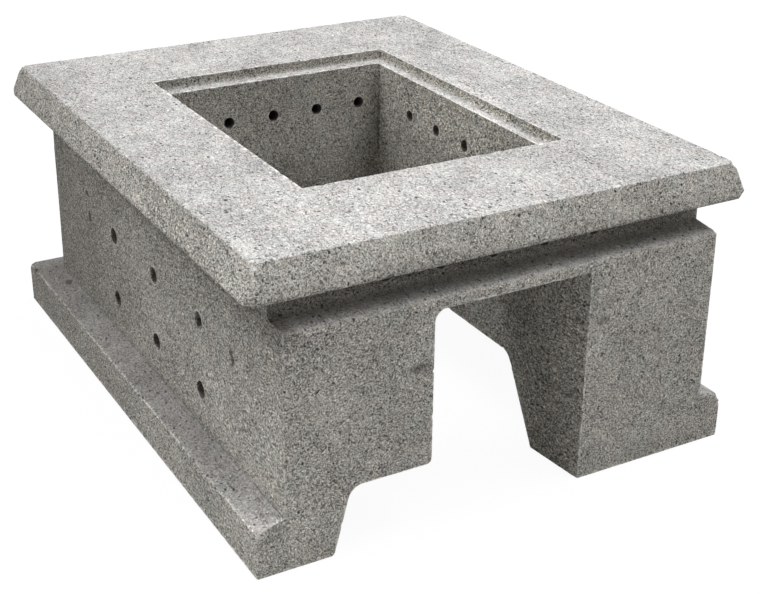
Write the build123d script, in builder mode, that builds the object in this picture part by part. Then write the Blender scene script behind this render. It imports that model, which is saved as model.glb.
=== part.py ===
from build123d import *
from math import atan, degrees, radians, tan
import os

# Refractory firebox block, cast in one piece.
# X runs left to right as seen from the front, Y from the front to the back and Z up.
# The origin is the centre of the footprint, on the floor. All sizes are millimetres.

# Overall block. The base is set back a little, because the flange overhangs it in front.
total_height = 236
base_width = 413
base_depth = 522
base_y = 0.6
front_y = base_y - base_depth / 2
back_y = base_y + base_depth / 2

# Flange: a slab whose edge faces flare out towards the underside
flange_thickness = 28
flange_top_width = 400
flange_top_depth = 500
flange_flare = 9
flange_taper = degrees(atan(flange_flare / flange_thickness))
flange_corner_radius = 2.5
flange_lower_radius = 2
flange_upper_radius = 1
flange_front_inset = 7
flange_y = front_y + flange_front_inset + flange_top_depth / 2
underside_z = total_height - flange_thickness

# Plinth round the left, right and back of the walls, with a weathered top
plinth_height = 37
plinth_rise = 6.5
plinth_side = 22
plinth_back = 38.5
plinth_radius = 2

# Walls between the plinth and the flange
wall_width = base_width - 2 * plinth_side
wall_back_y = back_y - plinth_back
wall_foot_z = plinth_height + plinth_rise
side_draft = 0.7
wall_top_width = wall_width - 2 * (underside_z - wall_foot_z) * tan(radians(side_draft))
wall_corner_radius = 1.5

# Groove along the front, under the flange
groove_depth = 24
groove_floor_z = total_height - 49
shoulder_drop = 2.5
shoulder_radius = 2

# Pit with a rebate round its rim
rim_width = 227
rim_depth = 292
rebate_side = 9.5
rebate_end = 12.5
rebate_drop = 9
pit_width = rim_width - 2 * rebate_side
pit_depth = rim_depth - 2 * rebate_end
pit_x = 1.2
pit_y = flange_y
pit_floor_z = total_height - 128
pit_top_z = total_height - rebate_drop
end_draft = 2
pit_floor_depth = pit_depth - 2 * (pit_top_z - pit_floor_z) * tan(radians(end_draft))
pit_corner_radius = 2

# Ash channel under the pit, with a flared mouth in the front wall
channel_width = 122
channel_top_z = total_height - 60.5
channel_back_y = pit_y + pit_floor_depth / 2
mouth_width = 133
mouth_depth = 56
mouth_corner_radius = 9

# Hollows of the underside, left and right of the channel
hollow_foot_x = 146
hollow_slant = 14
left_hollow_height = 53.5
right_hollow_height = 69.5
right_hollow_front_y = front_y + mouth_depth
right_hollow_slant = 38
hollow_fillet = 12
foot_radius = 3
lintel_corner_radius = 4

# Air bores: small ones round the top, large ones low in the side walls
small_bore = 10
small_bore_z = total_height - 43.5
end_row_count = 5
end_row_pitch = 44
end_row_x = -4
side_row_count = 4
side_row_pitch = 46.6
side_row_y = 0.5
large_bore = 14
large_row_count = 3
large_row_pitch = 91
large_row_y = -24
upper_row_z = total_height - 103.5
lower_row_z = total_height - 162

# Length that carries a cut clear of the faces it goes through, and slack for picking edges
clear = 20
near = 0.5


def is_upright(edge):
    return abs(edge.tangent_at(0.5).Z) > 0.9


def runs_lengthwise(edge):
    return abs(edge.tangent_at(0.5).Y) > 0.9


with BuildPart() as firebox_block:
    # Cross section of the plinth and the drafted walls, carried from the back to the front
    with BuildSketch(Plane.XZ.offset(-back_y)):
        with BuildLine():
            Polyline(
                (-base_width / 2, 0),
                (base_width / 2, 0),
                (base_width / 2, plinth_height),
                (wall_width / 2, wall_foot_z),
                (wall_top_width / 2, underside_z),
                (-wall_top_width / 2, underside_z),
                (-wall_width / 2, wall_foot_z),
                (-base_width / 2, plinth_height),
                close=True,
            )
        make_face()
    extrude(amount=base_depth)

    # Long section, with the groove in front and the plinth's ledge behind
    with BuildSketch(Plane.YZ):
        with BuildLine():
            Polyline(
                (front_y, 0),
                (back_y, 0),
                (back_y, plinth_height),
                (wall_back_y, wall_foot_z),
                (wall_back_y, underside_z),
                (front_y + groove_depth, underside_z),
                (front_y + groove_depth, groove_floor_z),
                (front_y, groove_floor_z - shoulder_drop),
                close=True,
            )
        make_face()
        shoulder = vertices().group_by(Axis.X)[0].sort_by(Axis.Y)[-1]
        fillet(shoulder, radius=shoulder_radius)
    extrude(amount=base_width, both=True, mode=Mode.INTERSECT)

    # Rounded corners of the back wall, and rounded arrises and corners of the plinth
    wall_corners = firebox_block.edges().filter_by(is_upright).filter_by(
        lambda edge: edge.center().Z > wall_foot_z and edge.center().Y > 0
    )
    fillet(wall_corners, radius=wall_corner_radius)
    plinth_corners = firebox_block.edges().filter_by(is_upright).filter_by(
        lambda edge: edge.center().Z < plinth_height and edge.center().Y > 0
    )
    plinth_arrises = firebox_block.edges().filter_by_position(
        Axis.Z, plinth_height - near, plinth_height + near
    )
    fillet(plinth_corners + plinth_arrises, radius=plinth_radius)

    # Flange
    with BuildSketch(Plane.XY.offset(underside_z)):
        with Locations((0, flange_y)):
            Rectangle(
                flange_top_width + 2 * flange_flare,
                flange_top_depth + 2 * flange_flare,
            )
    extrude(amount=flange_thickness, taper=flange_taper)
    flange_corners = firebox_block.edges().filter_by(is_upright).filter_by(
        lambda edge: edge.center().Z > underside_z
    )
    fillet(flange_corners, radius=flange_corner_radius)
    top_face = firebox_block.faces().sort_by(Axis.Z)[-1]
    fillet(top_face.outer_wire().edges(), radius=flange_upper_radius)
    lower_arris = firebox_block.edges().filter_by_position(
        Axis.Z, underside_z - near, underside_z + near
    )
    lower_arris = lower_arris.filter_by(
        lambda edge: abs(edge.center().X) > flange_top_width / 2
        or abs(edge.center().Y - flange_y) > flange_top_depth / 2
    )
    fillet(lower_arris, radius=flange_lower_radius)

    # Rebate round the rim, and the pit inside it, drafted at its front and back
    with BuildSketch(Plane.XY.offset(pit_top_z)):
        with Locations((pit_x, pit_y)):
            Rectangle(rim_width, rim_depth)
    extrude(amount=rebate_drop + clear, mode=Mode.SUBTRACT)
    with BuildSketch(Plane.YZ.offset(pit_x)):
        with BuildLine():
            Polyline(
                (pit_y - pit_floor_depth / 2, pit_floor_z),
                (pit_y + pit_floor_depth / 2, pit_floor_z),
                (pit_y + pit_depth / 2, pit_top_z),
                (pit_y - pit_depth / 2, pit_top_z),
                close=True,
            )
        make_face()
    extrude(amount=pit_width / 2, both=True, mode=Mode.SUBTRACT)
    pit_corners = firebox_block.edges().filter_by(is_upright).filter_by(
        lambda edge: abs(edge.center().X - pit_x) < pit_width / 2 + near
        and abs(edge.center().Y - pit_y) < pit_depth / 2
    )
    pit_corners = pit_corners.filter_by(lambda edge: edge.center().Z < pit_top_z)
    fillet(pit_corners, radius=pit_corner_radius)

    # Ash channel from the front wall to the back of the pit
    with BuildSketch(Plane.XZ.offset(-channel_back_y)):
        with Locations((0, (channel_top_z - clear) / 2)):
            Rectangle(channel_width, channel_top_z + clear)
    extrude(amount=channel_back_y - front_y, mode=Mode.SUBTRACT)

    # Mouth of the channel, narrowing inwards through the front wall
    with BuildSketch():
        with BuildLine():
            Polyline(
                (-mouth_width / 2, front_y),
                (mouth_width / 2, front_y),
                (channel_width / 2, front_y + mouth_depth),
                (-channel_width / 2, front_y + mouth_depth),
                close=True,
            )
        make_face()
    extrude(amount=channel_top_z, mode=Mode.SUBTRACT)
    left_crown = firebox_block.edges().filter_by(runs_lengthwise).filter_by(
        lambda edge: edge.center().X < near - channel_width / 2
        and abs(edge.center().Z - channel_top_z) < near
    )
    fillet(left_crown, radius=mouth_corner_radius)

    # Hollow left of the channel, open to the front beside the foot
    with BuildSketch(Plane.XZ.offset(-channel_back_y)):
        with BuildLine():
            Polyline(
                (0, 0),
                (-hollow_foot_x, 0),
                (-hollow_foot_x + hollow_slant, left_hollow_height),
                (0, left_hollow_height),
                close=True,
            )
        make_face()
        ceiling_corner = vertices().group_by(Axis.Y)[-1].sort_by(Axis.X)[0]
        fillet(ceiling_corner, radius=hollow_fillet)
    extrude(amount=channel_back_y - front_y, mode=Mode.SUBTRACT)
    lengthwise_edges = firebox_block.edges().filter_by(runs_lengthwise)
    lintel_edges = lengthwise_edges.filter_by(
        lambda edge: abs(edge.center().Z - left_hollow_height) < near
        and -mouth_width / 2 - near < edge.center().X < near - channel_width / 2
    )
    foot_edge = lengthwise_edges.filter_by(
        lambda edge: abs(edge.center().X + hollow_foot_x) < near and edge.center().Z < near
    )
    fillet(lintel_edges, radius=lintel_corner_radius)
    fillet(foot_edge, radius=foot_radius)

    # Hollow right of the channel, behind the front pillar, its three sides sloping
    with BuildSketch():
        with Locations((0, right_hollow_front_y)):
            Rectangle(
                hollow_foot_x, channel_back_y - right_hollow_front_y, align=(Align.MIN, Align.MIN)
            )
    with BuildSketch(Plane.XY.offset(right_hollow_height)):
        with Locations((0, right_hollow_front_y + right_hollow_slant)):
            Rectangle(
                hollow_foot_x - hollow_slant,
                channel_back_y - right_hollow_front_y - 2 * right_hollow_slant,
                align=(Align.MIN, Align.MIN),
            )
    loft(mode=Mode.SUBTRACT)
    ceiling_edges = firebox_block.edges().filter_by_position(
        Axis.Z, right_hollow_height - near, right_hollow_height + near
    )
    ceiling_edges = ceiling_edges.filter_by(
        lambda edge: edge.center().X > channel_width / 2 + near
    )
    fillet(ceiling_edges, radius=hollow_fillet)

    # Small air bores through the front and back walls, and through both side walls
    with BuildSketch(Plane.XZ.offset(-back_y - clear)):
        with Locations((end_row_x, small_bore_z)):
            with GridLocations(end_row_pitch, 1, end_row_count, 1):
                Circle(small_bore / 2)
    extrude(amount=base_depth + 2 * clear, mode=Mode.SUBTRACT)
    with BuildSketch(Plane.YZ):
        with Locations((side_row_y, small_bore_z)):
            with GridLocations(side_row_pitch, 1, side_row_count, 1):
                Circle(small_bore / 2)
    extrude(amount=base_width, both=True, mode=Mode.SUBTRACT)

    # Large air bores: a row into the pit through both side walls, a row into the channel
    # through the left wall
    with BuildSketch(Plane.YZ):
        with Locations((large_row_y, upper_row_z)):
            with GridLocations(large_row_pitch, 1, large_row_count, 1):
                Circle(large_bore / 2)
    extrude(amount=base_width, both=True, mode=Mode.SUBTRACT)
    with BuildSketch(Plane.YZ):
        with Locations((large_row_y, lower_row_z)):
            with GridLocations(large_row_pitch, 1, large_row_count, 1):
                Circle(large_bore / 2)
    extrude(amount=-base_width, mode=Mode.SUBTRACT)

firebox_block.part.label = "firebox_block"

os.makedirs("parts", exist_ok=True)
export_step(firebox_block.part, "parts/firebox_block.step")
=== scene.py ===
import bmesh
import bpy
import numpy as np
from mathutils import Matrix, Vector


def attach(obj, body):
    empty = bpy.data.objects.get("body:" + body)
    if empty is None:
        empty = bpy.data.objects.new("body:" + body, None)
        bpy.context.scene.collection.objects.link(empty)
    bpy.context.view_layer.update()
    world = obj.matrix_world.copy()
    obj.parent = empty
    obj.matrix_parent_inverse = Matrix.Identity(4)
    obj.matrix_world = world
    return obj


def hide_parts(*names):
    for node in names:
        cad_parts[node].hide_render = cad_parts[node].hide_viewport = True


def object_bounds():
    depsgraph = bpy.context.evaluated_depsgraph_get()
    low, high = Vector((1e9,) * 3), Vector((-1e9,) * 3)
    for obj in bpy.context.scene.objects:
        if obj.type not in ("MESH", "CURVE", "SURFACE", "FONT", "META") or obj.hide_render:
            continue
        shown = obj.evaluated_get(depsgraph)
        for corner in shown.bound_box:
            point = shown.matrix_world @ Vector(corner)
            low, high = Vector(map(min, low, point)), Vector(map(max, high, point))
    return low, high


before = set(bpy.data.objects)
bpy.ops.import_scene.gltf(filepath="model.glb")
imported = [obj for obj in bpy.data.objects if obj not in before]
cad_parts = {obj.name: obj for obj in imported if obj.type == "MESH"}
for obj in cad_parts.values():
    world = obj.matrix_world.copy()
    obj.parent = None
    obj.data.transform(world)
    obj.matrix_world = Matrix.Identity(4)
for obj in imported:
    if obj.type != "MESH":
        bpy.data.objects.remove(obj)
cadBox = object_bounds()
print("frame loaded")

# The photograph's camera: place in metres, axes as unit vectors, focal length in its own pixels
cameraView = {
    "place": (-0.53532, -1.01392, 0.60535),
    "right": (0.87284, -0.48795, 0.00746),
    "down": (-0.20289, -0.37673, -0.90383),
    "ahead": (0.44384, 0.78739, -0.42782),
    "focalPixels": 1438.6,
    "imageWidth": 760,
    "sensor": 36.0,
    "nearest": 0.05, "farthest": 40,
}

cameraData = bpy.data.cameras.new("photoCamera")
cameraData.sensor_width = cameraView["sensor"]
cameraData.lens = cameraView["focalPixels"] / cameraView["imageWidth"] * cameraView["sensor"]
cameraData.clip_start = cameraView["nearest"]
cameraData.clip_end = cameraView["farthest"]
camera = bpy.data.objects.new("photoCamera", cameraData)
bpy.context.scene.collection.objects.link(camera)
axes = Matrix((cameraView["right"], [-v for v in cameraView["down"]], [-v for v in cameraView["ahead"]]))
camera.matrix_world = Matrix.Translation(cameraView["place"]) @ axes.transposed().to_4x4()
bpy.context.scene.camera = camera
print("camera placed")


# Noise as whole arrays

def cellRandom(cells, seed):
    # A whole-number hash of each cell's three indices and the seed, scaled to 0..1
    x, y, z = (cells[:, k].astype(np.uint32) for k in range(3))
    h = x * np.uint32(374761393) + y * np.uint32(668265263) + z * np.uint32(2246822519)
    h = h + np.uint32(seed * 40503 + 97)
    h = (h ^ (h >> np.uint32(13))) * np.uint32(1274126177)
    h = (h ^ (h >> np.uint32(16))) * np.uint32(2654435769)
    return (h ^ (h >> np.uint32(15))) / 4294967295.0


def softNoise(points, size, seed):
    # Random values on a lattice of that size, blended along each axis by 3t^2 - 2t^3, from -1 to 1
    p = points / size
    cell = np.floor(p).astype(np.int64)
    t = p - cell
    t = t * t * (3 - 2 * t)
    total = np.zeros(len(points))
    for corner in range(8):
        step = np.array([corner & 1, corner >> 1 & 1, corner >> 2 & 1])
        share = np.where(step == 1, t, 1 - t).prod(axis=1)
        total += share * cellRandom(cell + step, seed)
    return total * 2 - 1


def layeredNoise(points, size, layers, seed):
    # Soft noise at that size plus finer layers, each half the size and 0.55 of the strength, from -1 to 1
    total, strength, whole = np.zeros(len(points)), 1.0, 0.0
    for layer in range(layers):
        total += strength * softNoise(points, size / 2 ** layer, seed + 7 * layer)
        whole += strength
        strength *= 0.55
    return total / whole


def bowls(points, cell, radius, share, seed):
    # At most one round bowl in each cell: (1 - (d / r)^2)^2 at the distance d from its centre, 0 outside r.
    # Its centre lies within 0.2 cell of the cell's middle, and r is half to all of the radius
    p = points / cell
    index = np.floor(p).astype(np.int64)
    centre = np.stack([0.3 + 0.4 * cellRandom(index, seed + k) for k in range(3)], axis=1)
    reach = radius / cell * (0.5 + 0.5 * cellRandom(index, seed + 3))
    away = np.linalg.norm(p - index - centre, axis=1) / reach
    depth = np.clip(1 - away ** 2, 0, 1) ** 2
    return np.where(cellRandom(index, seed + 4) < share, depth, 0)


# The cast block: the CAD solid as an even skin, worn and pitted in the mesh, then thinned where it is flat

castBlock = {
    "node": "firebox_block",
    "weld": 2e-6,
    "skin": 0.0015,  # cell of the skin
    "sharpFrom": 0.6,  # an edge that turns by more, in radians, is an arris or a crease
    "snapWithin": 0.78,  # how far the skin reaches for a sharp edge, in cells
    # As in the photograph, the flange hides nearly all of the groove's bores
    "grooveBores": {
        "first": -0.092, "pitch": 0.044, "height": 0.1925, "radius": 0.0052, "front": -0.13, "rise": 0.006,
    },
    "noiseTurn": 0.7, "noiseAxis": (0.3, 0.8, 0.5),  # turns the noise's lattice out of line with the faces
    "softPasses": 2, "softWear": 0.35, "wearSize": 0.012,
    "chipPasses": 14, "chipSize": 0.0065, "chipFrom": 0.3, "chipSteepness": 5, "chipDepth": 0.5,
    "chipRise": 0.02,  # the chips grow to their full depth over this height above the floor
    "arrisSpan": 0.0011,  # how far an arris stands proud of the relaxed skin
    # Worn corners of the flange and the plinth: half width and depth, middle y, height, up or down, radius
    "corners": [
        ((0.2083, 0.2583), -0.0034, 0.208, -1, 0.0075),
        ((0.200, 0.250), -0.0034, 0.236, 1, 0.0045),
        ((0.2065, 0.261), 0.0006, 0.037, 1, 0.005),
    ],
    "wave": 0.0002, "waveSize": 0.085,
    "ripple": 0.00008, "rippleSize": 0.009,
    "pitCell": 0.016, "pitRadius": 0.0026, "pitShare": 0.35, "pitDepth": 0.0011,
    # The damaged place on the left wall: centre and reach of each dent
    "dents": [
        ((-0.1833, -0.1740, 0.1330), (0.003, 0.0026, 0.0032)),
        ((-0.1833, -0.1775, 0.1275), (0.003, 0.0028, 0.0042)),
    ],
    "dentDepth": 0.0016,
    # What lies lower is a foot: where its normal's z is below the first it doesn't sink, and where that is
    # below the second it is level
    "footing": 0.0006, "footDown": (-0.5, -0.9),
    "triangles": 188000,
    "crispFrom": 0.5,  # an edge of the finished block that turns by more, in radians, is shaded sharp
}


def applied(mesh, name, kind, **settings):
    # A new mesh with one modifier applied to the given one
    carrier = bpy.data.objects.new(name, mesh)
    bpy.context.scene.collection.objects.link(carrier)
    modifier = carrier.modifiers.new(name, kind)
    for key, value in settings.items():
        setattr(modifier, key, value)
    graph = bpy.context.evaluated_depsgraph_get()
    made = bpy.data.meshes.new_from_object(carrier.evaluated_get(graph))
    bpy.data.objects.remove(carrier)
    return made


def meshArray(items, attribute, width, kind=np.float64):
    # One attribute of all the points or edges as rows of that width
    values = np.zeros(len(items) * width, kind)
    items.foreach_get(attribute, values)
    return values.reshape(-1, width)


def relaxed(points, ends, passes):
    # Each pass moves every point half the way to the mean of its neighbours
    points = points.copy()
    degree = np.bincount(ends.ravel(), minlength=len(points))
    for _ in range(passes):
        for axis in range(3):
            column = points[:, axis]
            total = np.bincount(ends[:, 0], column[ends[:, 1]], len(points))
            total += np.bincount(ends[:, 1], column[ends[:, 0]], len(points))
            points[:, axis] = (column + total / degree) / 2
    return points


def nearestOn(skin, lines):
    # Geometry nodes give each point of the skin the nearest spot on a set of lines
    target = bpy.data.objects.new("lines", lines)
    bpy.context.scene.collection.objects.link(target)
    tree = bpy.data.node_groups.new("nearestOn", "GeometryNodeTree")
    for way in ("INPUT", "OUTPUT"):
        tree.interface.new_socket(name="Geometry", in_out=way, socket_type="NodeSocketGeometry")
    info = tree.nodes.new("GeometryNodeObjectInfo")
    info.inputs["Object"].default_value = target
    near = tree.nodes.new("GeometryNodeProximity")
    near.target_element = "EDGES"
    store = tree.nodes.new("GeometryNodeStoreNamedAttribute")
    store.data_type = "FLOAT_VECTOR"
    store.inputs["Name"].default_value = "spot"
    tree.links.new(info.outputs["Geometry"], near.inputs[0])
    tree.links.new(tree.nodes.new("NodeGroupInput").outputs[0], store.inputs["Geometry"])
    tree.links.new(near.outputs["Position"], store.inputs["Value"])
    tree.links.new(store.outputs["Geometry"], tree.nodes.new("NodeGroupOutput").inputs[0])
    marked = applied(skin, "marked", "NODES", node_group=tree)
    nearest = meshArray(marked.attributes["spot"].data, "vector", 3)
    bpy.data.objects.remove(target)
    return nearest


def raisedBores(mesh, bores):
    # The rims of the groove's bores move up within the faces that they lie in
    points = meshArray(mesh.vertices, "co", 3)
    across = (points[:, 0] - bores["first"] + bores["pitch"] / 2) % bores["pitch"] - bores["pitch"] / 2
    onRim = np.hypot(across, points[:, 2] - bores["height"]) < bores["radius"]
    points[onRim & (points[:, 1] < bores["front"]), 2] += bores["rise"]
    mesh.vertices.foreach_set("co", points.astype(np.float32).ravel())


def evenSkin(look):
    # The CAD solid remeshed into even cells, and its sharp edges as loose lines
    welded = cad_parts[look["node"]].data.copy()
    raisedBores(welded, look["grooveBores"])
    work = bmesh.new()
    work.from_mesh(welded)
    bmesh.ops.remove_doubles(work, verts=work.verts, dist=look["weld"])
    sharp = [edge for edge in work.edges if edge.calc_face_angle(0) > look["sharpFrom"]]
    ends = [corner.co[:] for edge in sharp for corner in edge.verts]
    work.to_mesh(welded)
    work.free()
    lines = bpy.data.meshes.new("lines")
    lines.from_pydata(ends, [(k, k + 1) for k in range(0, len(ends), 2)], [])
    skin = applied(welded, "skin", "REMESH", mode="VOXEL", voxel_size=look["skin"])
    print("block skin", len(skin.vertices), "points", len(lines.edges), "sharp edges")
    return skin, lines


def wornCorners(points, corners):
    # A ball of radius r fits into each corner. A point beyond its centre on all three axes, by less than 2r,
    # and outside the ball moves in towards it, and less so where it is beyond by little on one axis
    points = points.copy()
    for half, middle, level, way, radius in corners:
        sides = np.sign(points - (0, middle, 0))
        sides[:, 2] = way
        beyond = (points - (0, middle, 0)) * sides - (half[0], half[1], way * level) + radius
        near = ((beyond > 0) & (beyond < 2 * radius)).all(axis=1)
        size = np.maximum(np.linalg.norm(beyond, axis=1), 1e-9)
        pull = np.clip(1 - radius / size, 0, 1) * np.clip(2 * beyond.min(axis=1) / radius, 0, 1) * near
        points -= pull[:, None] * beyond * sides
    return points


def wornShape(points, normals, ends, look):
    # How much of an arris or of a crease a point is: how far it lies outside or inside the relaxed skin, over
    # the span. Arrises move towards that skin, further where they are chipped
    soft = relaxed(points, ends, look["softPasses"])
    deep = relaxed(soft, ends, look["chipPasses"])
    lift = ((points - deep) * normals).sum(axis=1) / look["arrisSpan"]
    arris, crease = np.clip(lift, 0, 1), np.clip(-lift, 0, 1)

    turned = points @ np.array(Matrix.Rotation(look["noiseTurn"], 3, look["noiseAxis"]))
    wear = look["softWear"] * (0.5 + 0.5 * layeredNoise(turned, look["wearSize"], layers=3, seed=11))
    chips = layeredNoise(turned, look["chipSize"], layers=3, seed=23) - look["chipFrom"]
    chips = np.clip(chips * look["chipSteepness"], 0, 1) * np.clip(points[:, 2] / look["chipRise"], 0, 1)
    moved = points + (arris * wear)[:, None] * (soft - points)
    moved += (arris * chips * look["chipDepth"])[:, None] * (deep - moved)
    moved = wornCorners(moved, look["corners"])

    # Everything else only sinks, so that the block keeps inside its box
    sink = look["wave"] * (0.5 + 0.5 * layeredNoise(turned, look["waveSize"], layers=2, seed=31))
    sink += look["ripple"] * (0.5 + 0.5 * layeredNoise(turned, look["rippleSize"], layers=2, seed=41))
    sink += look["pitDepth"] * bowls(turned, look["pitCell"], look["pitRadius"], look["pitShare"], seed=53)
    for centre, reach in look["dents"]:
        away = (((points - centre) / reach) ** 2).sum(axis=1)
        sink += look["dentDepth"] * np.clip(1 - away, 0, 1) ** 0.5
    foot = points[:, 2] < look["footing"]
    firm, level = look["footDown"]
    sink[foot & (normals[:, 2] < firm)] = 0
    moved = np.clip(moved - sink[:, None] * normals, cadBox[0], cadBox[1])
    moved[foot & (normals[:, 2] < level), 2] = 0
    return moved, arris, crease


def buildBlock(look):
    skin, lines = evenSkin(look)
    points = meshArray(skin.vertices, "co", 3)
    normals = meshArray(skin.vertices, "normal", 3)
    ends = meshArray(skin.edges, "vertices", 2, np.int32)

    # The remesh rounds its arrises off by half a cell, so its nearest points go back on to the sharp edges
    nearest = nearestOn(skin, lines)
    close = np.linalg.norm(nearest - points, axis=1) < look["snapWithin"] * look["skin"]
    points[close] = nearest[close]

    moved, arris, crease = wornShape(points, normals, ends, look)
    skin.vertices.foreach_set("co", moved.astype(np.float32).ravel())
    for name, values in (("arris", close * arris), ("crease", close * crease)):
        skin.attributes.new(name, "FLOAT", "POINT").data.foreach_set("value", values.astype(np.float32))
    skin.update()

    share = look["triangles"] / (2 * len(skin.polygons))
    mesh = applied(skin, "thinned", "DECIMATE", ratio=share, use_collapse_triangulate=True)
    mesh.name = "castBlock"
    mesh.polygons.foreach_set("use_smooth", np.ones(len(mesh.polygons), bool))
    mesh.set_sharp_from_angle(angle=look["crispFrom"])
    mesh.materials.clear()
    block = bpy.data.objects.new("castBlock", mesh)
    bpy.context.scene.collection.objects.link(block)
    print("block", len(mesh.polygons), "triangles")
    return block


block = buildBlock(castBlock)
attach(block, "root")
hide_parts(castBlock["node"])


# Node helpers

def join(tree, socket, value):
    # A socket takes a link where the value is another socket, and the value itself where it is not
    if isinstance(value, bpy.types.NodeSocket):
        tree.links.new(value, socket)
    else:
        socket.default_value = value


def put(tree, kind, settings=None, **inputs):
    # A node with its settings, and its sockets by name
    node = tree.nodes.new(kind)
    for key, value in (settings or {}).items():
        setattr(node, key, value)
    for key, value in inputs.items():
        join(tree, node.inputs[key.replace("_", " ")], value)
    return node


def maths(tree, operation, *values):
    node = tree.nodes.new("ShaderNodeMath")
    node.operation = operation
    for k, value in enumerate(values):
        join(tree, node.inputs[k], value)
    return node.outputs[0]


def vectorMaths(tree, operation, *values):
    node = tree.nodes.new("ShaderNodeVectorMath")
    node.operation = operation
    for k, value in enumerate(values):
        join(tree, node.inputs[k], value)
    return node.outputs["Value" if operation in ("LENGTH", "DOT_PRODUCT") else "Vector"]


def summed(tree, *parts):
    # The sum of value times weight over the given pairs
    total = 0.0
    for value, weight in parts:
        total = maths(tree, "MULTIPLY_ADD", value, weight, total)
    return total


def mixColours(tree, share, first, second, blend="MIX"):
    node = tree.nodes.new("ShaderNodeMix")
    node.data_type = "RGBA"
    node.blend_type = blend
    for index, value in ((0, share), (6, first), (7, second)):
        join(tree, node.inputs[index], value)
    return node.outputs[2]


def ramp(tree, value, low, high, toLow=0.0, toHigh=1.0, kind="SMOOTHSTEP"):
    node = tree.nodes.new("ShaderNodeMapRange")
    node.interpolation_type = kind
    names = ("Value", "From Min", "From Max", "To Min", "To Max")
    for name, number in zip(names, (value, low, high, toLow, toHigh)):
        join(tree, node.inputs[name], number)
    return node.outputs["Result"]


def noiseNode(tree, vector, scale, detail=2.0, roughness=0.5, distortion=0.0):
    return put(tree, "ShaderNodeTexNoise", Vector=vector, Scale=scale, Detail=detail, Roughness=roughness,
               Distortion=distortion).outputs


def noise(tree, vector, scale, detail=2.0, roughness=0.5, distortion=0.0):
    return noiseNode(tree, vector, scale, detail, roughness, distortion)[0]


def newGroup(name, inputs, outputs):
    # A shader group: its inputs are numbers with their usual values, or a vector where there is none
    group = bpy.data.node_groups.new(name, "ShaderNodeTree")
    for label, value in inputs.items():
        kind = "NodeSocketVector" if value is None else "NodeSocketFloat"
        socket = group.interface.new_socket(name=label, in_out="INPUT", socket_type=kind)
        if value is not None:
            socket.default_value = value
    for label in outputs:
        group.interface.new_socket(name=label, in_out="OUTPUT", socket_type="NodeSocketFloat")
    return group, group.nodes.new("NodeGroupInput").outputs, group.nodes.new("NodeGroupOutput").inputs


# The cast face: fine paste, thin worm-like strokes in it, smooth pebbles, dark pores and pale grains

castGrain = {
    "scales": {
        "Paste Scale": 820.0, "Stroke Scale": 370.0, "Pore Scale": 250.0, "Pale Scale": 120.0,
        "Pebble Scale": 85.0,
    },
    "stirScale": 300.0, "stir": (0.003, 0.003, 0.003),
    "strokeWidth": 0.06, "strokeBend": 0.6, "besideStroke": 1.4,  # the light line lies so many widths off
    "fineScale": 1.6, "fineWidth": 0.07,
    "keptScale": 0.8, "kept": (0.46, 0.56),  # breaks the strokes into lengths
    # Round spots: the least and the most radius in cells, and how much of it is full
    "pebbles": (-0.1, 0.34, 0.8), "pores": (-0.05, 0.3, 0.75), "paleGrains": (-0.1, 0.13, 0.7),
    "poreDepth": (0.6, 1.0), "pebbleCover": 0.8,
    "tone": {"paste": 3.2, "dark": -0.72, "light": 0.4, "pebbles": 0.3},
    "height": {"paste": 0.5, "dark": -0.4, "light": 0.2, "pores": -1.3, "pale": 0.3, "pebbles": 0.2},
}


def shifted(tree, vector, by):
    # Takes each pattern from another part of its noise
    return vectorMaths(tree, "ADD", vector, (by, by * 0.7, -by * 0.4))


def stroke(tree, look, vector, scale, width, offset):
    # A dark line where a smooth noise crosses its middle value and a light one beside it, in broken lengths
    level = noise(tree, shifted(tree, vector, offset), scale, 0.0, 0.5, look["strokeBend"])
    keptScale = maths(tree, "MULTIPLY", scale, look["keptScale"])
    kept = ramp(tree, noise(tree, shifted(tree, vector, offset + 4.0), keptScale, 0.0), *look["kept"])
    lines = []
    for middle in (0.5, 0.5 + look["besideStroke"] * width):
        away = maths(tree, "ABSOLUTE", maths(tree, "SUBTRACT", level, middle))
        lines.append(maths(tree, "MULTIPLY", ramp(tree, away, 0.0, width, 1.0, 0.0), kept))
    return lines


def roundSpots(tree, vector, scale, radii, offset):
    # One round spot in each cell, its radius drawn between the two; few of them where the least is below 0
    least, most, full = radii
    cells = put(tree, "ShaderNodeTexVoronoi", Vector=shifted(tree, vector, offset), Scale=scale)
    chance = put(tree, "ShaderNodeSeparateColor", Color=cells.outputs["Color"]).outputs
    reach = maths(tree, "MAXIMUM", ramp(tree, chance[0], 0.0, 1.0, least, most, "LINEAR"), 0.0001)
    return ramp(tree, cells.outputs["Distance"], reach, maths(tree, "MULTIPLY", reach, full)), chance[1]


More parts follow.
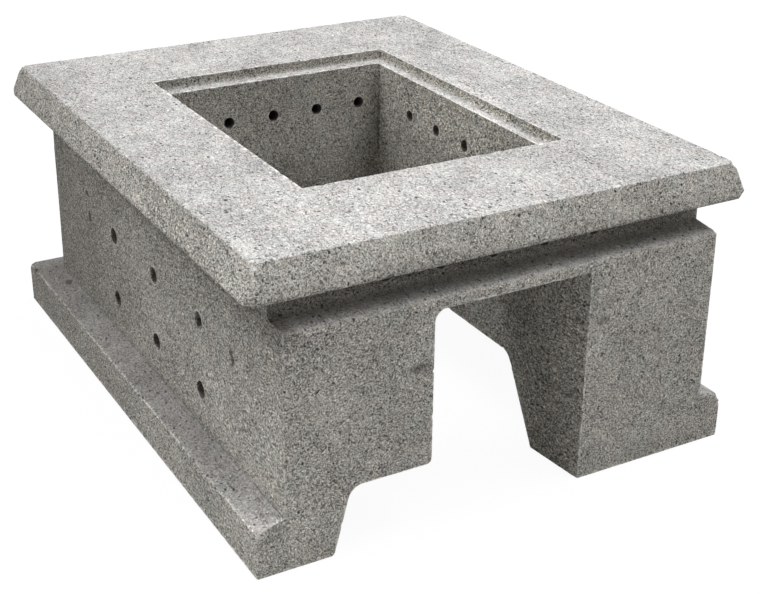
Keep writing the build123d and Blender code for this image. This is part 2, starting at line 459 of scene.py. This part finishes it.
def grainGroup(look):
    outputs = ["Tone", "Pores", "Pale", "Height"]
    group, taken, given = newGroup("castGrain", {"Vector": None, **look["scales"]}, outputs)
    stirred = noiseNode(group, taken["Vector"], look["stirScale"], 1.0)["Color"]
    place = vectorMaths(group, "MULTIPLY_ADD", stirred, look["stir"], taken["Vector"])

    paste = maths(group, "SUBTRACT", noise(group, place, taken["Paste Scale"], 1.0, 0.8), 0.5)
    scale = taken["Stroke Scale"]
    fineScale = maths(group, "MULTIPLY", scale, look["fineScale"])
    dark, light = stroke(group, look, place, scale, look["strokeWidth"], offset=0.0)
    fineDark, fineLight = stroke(group, look, place, fineScale, look["fineWidth"], offset=1.1)
    dark = maths(group, "MAXIMUM", dark, fineDark)
    light = maths(group, "MAXIMUM", light, fineLight)
    pebbles, pebbleTone = roundSpots(group, place, taken["Pebble Scale"], look["pebbles"], offset=7.0)
    clear = maths(group, "SUBTRACT", 1.0, maths(group, "MULTIPLY", pebbles, look["pebbleCover"]))
    tone = look["tone"]
    lines = maths(group, "MULTIPLY", summed(group, (dark, tone["dark"]), (light, tone["light"])), clear)
    stones = maths(group, "MULTIPLY", pebbles, maths(group, "SUBTRACT", pebbleTone, 0.5))
    join(group, given["Tone"], summed(group, (paste, tone["paste"]), (lines, 1.0), (stones, tone["pebbles"])))

    pores, deep = roundSpots(group, place, taken["Pore Scale"], look["pores"], offset=9.0)
    pores = maths(group, "MULTIPLY", pores, ramp(group, deep, 0.0, 1.0, *look["poreDepth"], "LINEAR"))
    join(group, given["Pores"], pores)
    pale, _ = roundSpots(group, place, taken["Pale Scale"], look["paleGrains"], offset=11.0)
    join(group, given["Pale"], pale)
    raised = {"paste": paste, "dark": dark, "light": light, "pores": pores, "pale": pale, "pebbles": pebbles}
    height = summed(group, *((raised[name], share) for name, share in look["height"].items()))
    join(group, given["Height"], height)
    return group


def boreGroup():
    # A place counts as inside where it lies within the radius of the nearest axis in a row of level bores
    group, taken, given = newGroup("boreRow", {
        "Along": 0.0, "Up": 0.0, "First": 0.0, "Pitch": 0.05, "Last": 3.0, "Height": 0.1, "Radius": 0.005,
    }, ["Inside"])
    along = maths(group, "SUBTRACT", taken["Along"], taken["First"])
    index = maths(group, "ROUND", maths(group, "DIVIDE", along, taken["Pitch"]))
    index = maths(group, "MINIMUM", maths(group, "MAXIMUM", index, 0.0), taken["Last"])
    across = maths(group, "SUBTRACT", along, maths(group, "MULTIPLY", index, taken["Pitch"]))
    above = maths(group, "SUBTRACT", taken["Up"], taken["Height"])
    away = maths(group, "SQRT", summed(group, (across, across), (above, above)))
    join(group, given["Inside"], maths(group, "LESS_THAN", away, taken["Radius"]))
    return group


castFinish = {
    "paste": (0.385, 0.377, 0.344, 1), "pore": (0.03, 0.03, 0.028, 1), "pale": (0.74, 0.73, 0.70, 1),
    # The dark colour serves both the marks and the painted shade
    "markAndShadeColour": (0.052, 0.043, 0.03, 1), "broken": (0.70, 0.67, 0.61, 1),
    "grainDraw": (1.0, 0.62, 1.0),  # draws the grain out along the block
    # The grain's share on upright and on level faces, and what the side faces have more of it
    "grainShare": (1.35, 0.74), "level": (0.05, 0.6),
    "sideShare": 0.25, "sideways": (0.5, 0.9),
    "mottle": 0.68, "mottleScale": 95.0,
    "cloud": 0.64, "cloudScale": 20.0,
    "darkest": 0.2,
    "pink": (1.02, 0.996, 0.983, 1), "green": (0.993, 1.002, 0.993, 1),
    "tintScale": 60.0, "tints": (0.38, 0.62),
    # Painted light by the normal's z: level faces darker and bluer, upright faces warmer
    "sidePaintedLight": (1.02, 1.0, 0.963, 1), "topPaintedLight": (0.942, 0.935, 0.958, 1), "topFrom": (0.4, 0.9),
    "arris": 0.95, "arrisRange": (0.05, 0.5),
    "arrisScale": 150.0, "arrisBreaks": (0.49, 0.59, 0.05, 1.0),  # noise leaves only lengths of it bright
    # Painted shade in the creases, by the crease attribute
    "crease": 0.5, "creaseRange": (0.3, 0.9),
    "relief": 0.0008, "reliefStrength": 0.9, "roughness": 0.92,
    # Rows of bores: the axis they lie along, the first, the pitch, the last index, height and radius, then
    # the axis and the side of the middle that they are on, 0 for both
    "bores": [
        ("Y", -0.0693, 0.0466, 3, 0.1925, 0.0051, "X", 0),
        ("Y", -0.115, 0.091, 2, 0.1325, 0.0071, "X", 0),
        ("Y", -0.115, 0.091, 2, 0.074, 0.0071, "X", -1),
        ("X", -0.092, 0.044, 4, 0.1925, 0.0051, "Y", 1),
    ],
    # Painted shade inside the bores of the rows above
    "boreShade": 0.78,
    "ragged": 0.9, "raggedScale": 420.0,  # span of the noise that shifts a patch's outline, in reaches
    # Pale patches, painted light but for the line on the plinth's arris, and dark patches, marks or painted
    # shade: centre, reach along x, y and z, strength, and how far from the centre it is full
    "paleLineAndPaintedLight": [
        ((-0.2060, 0.0, 0.0365), (0.0012, 1.5, 0.0012), 0.5, 0.3),  # left arris of the plinth
        ((-0.20, -0.27, 0.03), (0.16, 0.20, 0.11), 0.16, 0.1),  # left foot, painted light
        ((-0.13, -0.26, 0.242), (0.34, 0.16, 0.04), 0.13, 0.2),  # top, in front, painted light
        ((0.18, -0.02, 0.236), (0.09, 0.24, 0.05), 0.08, 0.2),  # top, on the right, painted light
        ((-0.21, -0.2, 0.21), (0.03, 0.2, 0.03), 0.18, 0.2),  # left side of the flange, painted light
        ((0.115, 0.0, 0.21), (0.03, 0.16, 0.055), 0.42, 0.2),  # right wall of the pit, painted light
    ],
    "marksAndPaintedShade": [
        # Left wall and plinth: the damaged place and small marks, then painted shadow under the flange,
        # painted shade towards the back, painted shade on the plinth along the wall, and painted shadow
        # beside the groove's end
        ((-0.1833, -0.1740, 0.1330), (0.004, 0.0034, 0.0038), 0.9, 0.5),
        ((-0.1833, -0.1775, 0.1275), (0.004, 0.0036, 0.0050), 0.8, 0.5),
        ((-0.1833, 0.1329, 0.1486), (0.006, 0.0055, 0.0030), 1.0, 0.5),
        ((-0.1833, 0.1295, 0.1275), (0.006, 0.0050, 0.0085), 1.0, 0.5),
        ((-0.2050, 0.2416, 0.0360), (0.006, 0.0060, 0.0026), 1.0, 0.5),
        ((-0.1901, 0.1895, 0.0417), (0.006, 0.0070, 0.0030), 0.9, 0.5),
        # Painted shadow under the flange
        ((-0.184, 0.0, 0.1900), (0.02, 1.5, 0.028), 0.58, 0.1),
        # Painted shade towards the back
        ((-0.20, 0.28, 0.09), (0.12, 0.42, 0.20), 0.66, 0.1),
        # Painted shade on the plinth along the wall
        ((-0.190, 0.02, 0.038), (0.022, 0.38, 0.016), 0.33, 0.55),
        # Painted shadow beside the groove's end
        ((-0.19, -0.165, 0.20), (0.03, 0.10, 0.04), 0.36, 0.1),
        # Front: marks beside the channel, on its right jamb, on the flange and below the groove
        ((-0.079, -0.260, 0.134), (0.014, 0.006, 0.006), 0.7, 0.1),
        ((0.079, -0.260, 0.134), (0.012, 0.006, 0.0055), 0.5, 0.1),
        ((0.0641, -0.2344, 0.130), (0.004, 0.003, 0.0022), 0.55, 0.5),
        ((0.059, -0.260, 0.2152), (0.004, 0.004, 0.0012), 0.5, 0.4),
        ((0.0828, -0.2597, 0.1837), (0.0016, 0.003, 0.0014), 0.6, 0.5),
        # Flange: its front, its lower edge, and painted shadow in the groove under it
        ((0.02, -0.26, 0.222), (0.34, 0.03, 0.035), 0.03, 0.4),
        ((0.0, -0.262, 0.206), (1.2, 0.012, 0.017), 0.19, 0.45),
        # Painted shadow in the groove under the flange
        ((0.0, -0.236, 0.1990), (1.2, 0.02, 0.0105), 0.58, 0.1),
        # Right side of the plinth, painted shade low in the pit, a dark line down its far right corner, and a
        # mark on its right wall
        ((0.20, 0.0, 0.037), (0.03, 0.30, 0.02), 0.12, 0.4),
        # Painted shade low in the pit
        ((0.0, 0.0, 0.08), (0.15, 0.235, 0.13), 0.76, 0.2),
        ((0.1047, 0.1275, 0.165), (0.0022, 0.0022, 0.062), 0.6, 0.3),
        ((0.1053, 0.0735, 0.145), (0.004, 0.003, 0.0018), 0.5, 0.5),
    ],
}


def patchMask(tree, place, finish, patches):
    # For each patch its strength at the centre and 0 at its reach, on a ragged outline; the strongest counts
    ragged = noiseNode(tree, place, finish["raggedScale"])["Color"]
    whole = (finish["ragged"],) * 3
    half = (finish["ragged"] / 2,) * 3
    total = 0.0
    for centre, reach, strength, full in patches:
        away = vectorMaths(tree, "DIVIDE", vectorMaths(tree, "SUBTRACT", place, centre), reach)
        away = vectorMaths(tree, "SUBTRACT", vectorMaths(tree, "MULTIPLY_ADD", ragged, whole, away), half)
        mask = ramp(tree, vectorMaths(tree, "LENGTH", away), full, 1.0, strength, 0.0)
        total = maths(tree, "MAXIMUM", total, mask)
    return total


def castTone(tree, place, drawn, normal, tone, finish):
    # 1 plus the grain, the mottling and the clouds, each by its share, times 1 plus the pale line on the
    # plinth's arris and the patches of painted light
    mottle = maths(tree, "SUBTRACT", noise(tree, drawn, finish["mottleScale"], 3.0, 0.6), 0.5)
    cloud = maths(tree, "SUBTRACT", noise(tree, place, finish["cloudScale"], 2.0), 0.5)
    sideways = maths(tree, "ABSOLUTE", normal["X"])
    sideways = ramp(tree, sideways, *finish["sideways"], 0.0, finish["sideShare"])
    share = ramp(tree, normal["Z"], *finish["level"], *finish["grainShare"])
    share = maths(tree, "ADD", share, sideways)
    tone = summed(tree, (1.0, 1.0), (tone, share), (mottle, finish["mottle"]), (cloud, finish["cloud"]))
    # Painted light from the pale patches, and the pale line on the plinth's arris
    paintedLightAndPaleLine = maths(tree, "ADD", patchMask(tree, place, finish, finish["paleLineAndPaintedLight"]), 1.0)
    return maths(tree, "MULTIPLY", maths(tree, "MAXIMUM", tone, finish["darkest"]), paintedLightAndPaleLine)


def darkMarksAndShade(tree, place, finish, boreRow):
    # The strongest of the dark patches, which are marks or painted shade, the painted shade in the bores and
    # the painted shade in the creases
    spot = put(tree, "ShaderNodeSeparateXYZ", Vector=place).outputs
    darkened = patchMask(tree, place, finish, finish["marksAndPaintedShade"])
    for way, first, pitch, last, height, radius, axis, side in finish["bores"]:
        row = put(tree, "ShaderNodeGroup", {"node_tree": boreRow}, Along=spot[way], Up=spot["Z"], First=first,
                  Pitch=pitch, Last=float(last), Height=height, Radius=radius).outputs[0]
        if side:
            beside = maths(tree, "GREATER_THAN", maths(tree, "MULTIPLY", spot[axis], side), 0.0)
            row = maths(tree, "MULTIPLY", row, beside)
        darkened = maths(tree, "MAXIMUM", darkened, maths(tree, "MULTIPLY", row, finish["boreShade"]))
    crease = put(tree, "ShaderNodeAttribute", {"attribute_name": "crease"}).outputs["Fac"]
    crease = ramp(tree, crease, *finish["creaseRange"])
    return maths(tree, "MAXIMUM", darkened, maths(tree, "MULTIPLY", crease, finish["crease"]))


def castMaterial(finish, grains, boreRow):
    material = bpy.data.materials.new("castRefractory")
    material.use_nodes = True
    tree = material.node_tree
    shader = tree.nodes["Principled BSDF"]
    place = tree.nodes.new("ShaderNodeTexCoord").outputs["Object"]
    drawn = vectorMaths(tree, "MULTIPLY", place, finish["grainDraw"])
    cast = put(tree, "ShaderNodeGroup", {"node_tree": grains}, Vector=drawn).outputs
    normal = tree.nodes.new("ShaderNodeNewGeometry").outputs["Normal"]
    normal = put(tree, "ShaderNodeSeparateXYZ", Vector=normal).outputs

    tone = castTone(tree, place, drawn, normal, cast["Tone"], finish)
    grey = put(tree, "ShaderNodeCombineColor", Red=tone, Green=tone, Blue=tone).outputs[0]
    tint = ramp(tree, noise(tree, place, finish["tintScale"], 2.0), *finish["tints"])
    tint = mixColours(tree, tint, finish["green"], finish["pink"])
    # Painted light: level faces darker and bluer, upright faces warmer
    paintedSkyLight = ramp(tree, normal["Z"], *finish["topFrom"])
    paintedSkyLight = mixColours(tree, paintedSkyLight, finish["sidePaintedLight"], finish["topPaintedLight"])
    colour = mixColours(tree, 1.0, finish["paste"], mixColours(tree, 1.0, tint, paintedSkyLight, "MULTIPLY"), "MULTIPLY")
    colour = mixColours(tree, 1.0, colour, grey, "MULTIPLY")
    colour = mixColours(tree, cast["Pale"], colour, finish["pale"])

    arris = put(tree, "ShaderNodeAttribute", {"attribute_name": "arris"}).outputs["Fac"]
    arris = ramp(tree, arris, *finish["arrisRange"])
    bare = ramp(tree, noise(tree, place, finish["arrisScale"], 3.0, 0.7), *finish["arrisBreaks"])
    bare = maths(tree, "MULTIPLY", maths(tree, "MULTIPLY", arris, bare), finish["arris"])
    colour = mixColours(tree, bare, colour, finish["broken"])
    colour = mixColours(tree, cast["Pores"], colour, finish["pore"])
    # The dark colour over the marks and the painted shade
    colour = mixColours(tree, darkMarksAndShade(tree, place, finish, boreRow), colour, finish["markAndShadeColour"])

    join(tree, shader.inputs["Base Color"], colour)
    shader.inputs["Roughness"].default_value = finish["roughness"]
    bump = put(tree, "ShaderNodeBump", Strength=finish["reliefStrength"], Distance=finish["relief"],
               Height=cast["Height"])
    join(tree, shader.inputs["Normal"], bump.outputs[0])
    return material


block.data.materials.append(castMaterial(castFinish, grainGroup(castGrain), boreGroup()))
print("block material made")


# Floor and light

studio = {
    "floorReach": 8.0, "floorDrop": 0.0002,
    "floorBounce": (0.4, 0.4, 0.4, 1), "floorSeen": (0.9, 0.9, 0.9, 1),
    "floorShadow": 0.05,  # how much of the shadow shows on the white floor
    # Soft lights in the sky: the way towards each, how narrow it is, how strong, and its tint
    "glows": [
        ((-0.940, 0.0, 0.342), 12.0, 1.582, (1.0, 1.0, 1.0)),
        ((0.265, -0.265, 0.927), 40.0, 12.378, (0.985, 1.0, 1.055)),
        ((0.375, 0.0, 0.927), 40.0, 11.872, (0.985, 1.0, 1.055)),
        ((-0.265, 0.265, 0.927), 40.0, 18.391, (0.985, 1.0, 1.055)),
        ((0.579, -0.579, 0.574), 30.0, 2.44, (1.0, 1.0, 1.0)),
    ],
    "level": 0.92,
    "white": (1, 1, 1, 1),
}


def mixShaders(tree, share, first, second):
    node = tree.nodes.new("ShaderNodeMixShader")
    for index, value in enumerate((share, first, second)):
        join(tree, node.inputs[index], value)
    return node.outputs[0]


def seenDirectly(tree):
    # 1 on rays from the camera and on rays that mirror or pass on what it sees
    path = tree.nodes.new("ShaderNodeLightPath").outputs
    mirrored = maths(tree, "MAXIMUM", path["Is Glossy Ray"], path["Is Transmission Ray"])
    return maths(tree, "MAXIMUM", path["Is Camera Ray"], mirrored)


def buildFloor(look):
    far, low = look["floorReach"], -look["floorDrop"]
    corners = [(-far, -far, low), (far, -far, low), (far, far, low), (-far, far, low)]
    mesh = bpy.data.meshes.new("floor")
    mesh.from_pydata(corners, [], [(0, 1, 2, 3)])
    material = bpy.data.materials.new("paleFloor")
    material.use_nodes = True
    tree = material.node_tree
    tree.nodes.clear()
    output = tree.nodes.new("ShaderNodeOutputMaterial")
    bounce = put(tree, "ShaderNodeBsdfDiffuse", Color=look["floorBounce"]).outputs[0]
    shaded = put(tree, "ShaderNodeBsdfDiffuse", Color=look["floorSeen"]).outputs[0]
    white = put(tree, "ShaderNodeEmission", Color=look["white"], Strength=1.0).outputs[0]
    shown = mixShaders(tree, look["floorShadow"], white, shaded)
    join(tree, output.inputs["Surface"], mixShaders(tree, seenDirectly(tree), bounce, shown))
    mesh.materials.append(material)
    floor = bpy.data.objects.new("floor", mesh)
    bpy.context.scene.collection.objects.link(floor)
    return floor


def lightRoom(look):
    # Each glow is the cosine to its way, to a power; the sky looks white where it is seen
    world = bpy.data.worlds.new("softRoom")
    bpy.context.scene.world = world
    world.use_nodes = True
    tree = world.node_tree
    tree.nodes.clear()
    output = tree.nodes.new("ShaderNodeOutputWorld")
    way = tree.nodes.new("ShaderNodeTexCoord").outputs["Generated"]
    light = (0.0, 0.0, 0.0)
    for towards, sharpness, strength, tint in look["glows"]:
        facing = maths(tree, "MAXIMUM", vectorMaths(tree, "DOT_PRODUCT", way, towards), 0.0)
        glow = maths(tree, "POWER", facing, sharpness)
        light = vectorMaths(tree, "MULTIPLY_ADD", glow, [strength * part for part in tint], light)
    room = put(tree, "ShaderNodeBackground", Color=light, Strength=look["level"]).outputs[0]
    white = put(tree, "ShaderNodeBackground", Color=look["white"], Strength=1.0).outputs[0]
    join(tree, output.inputs["Surface"], mixShaders(tree, seenDirectly(tree), room, white))


buildFloor(studio)
lightRoom(studio)
bpy.context.scene.view_settings.view_transform = "Standard"
print("floor and light set")
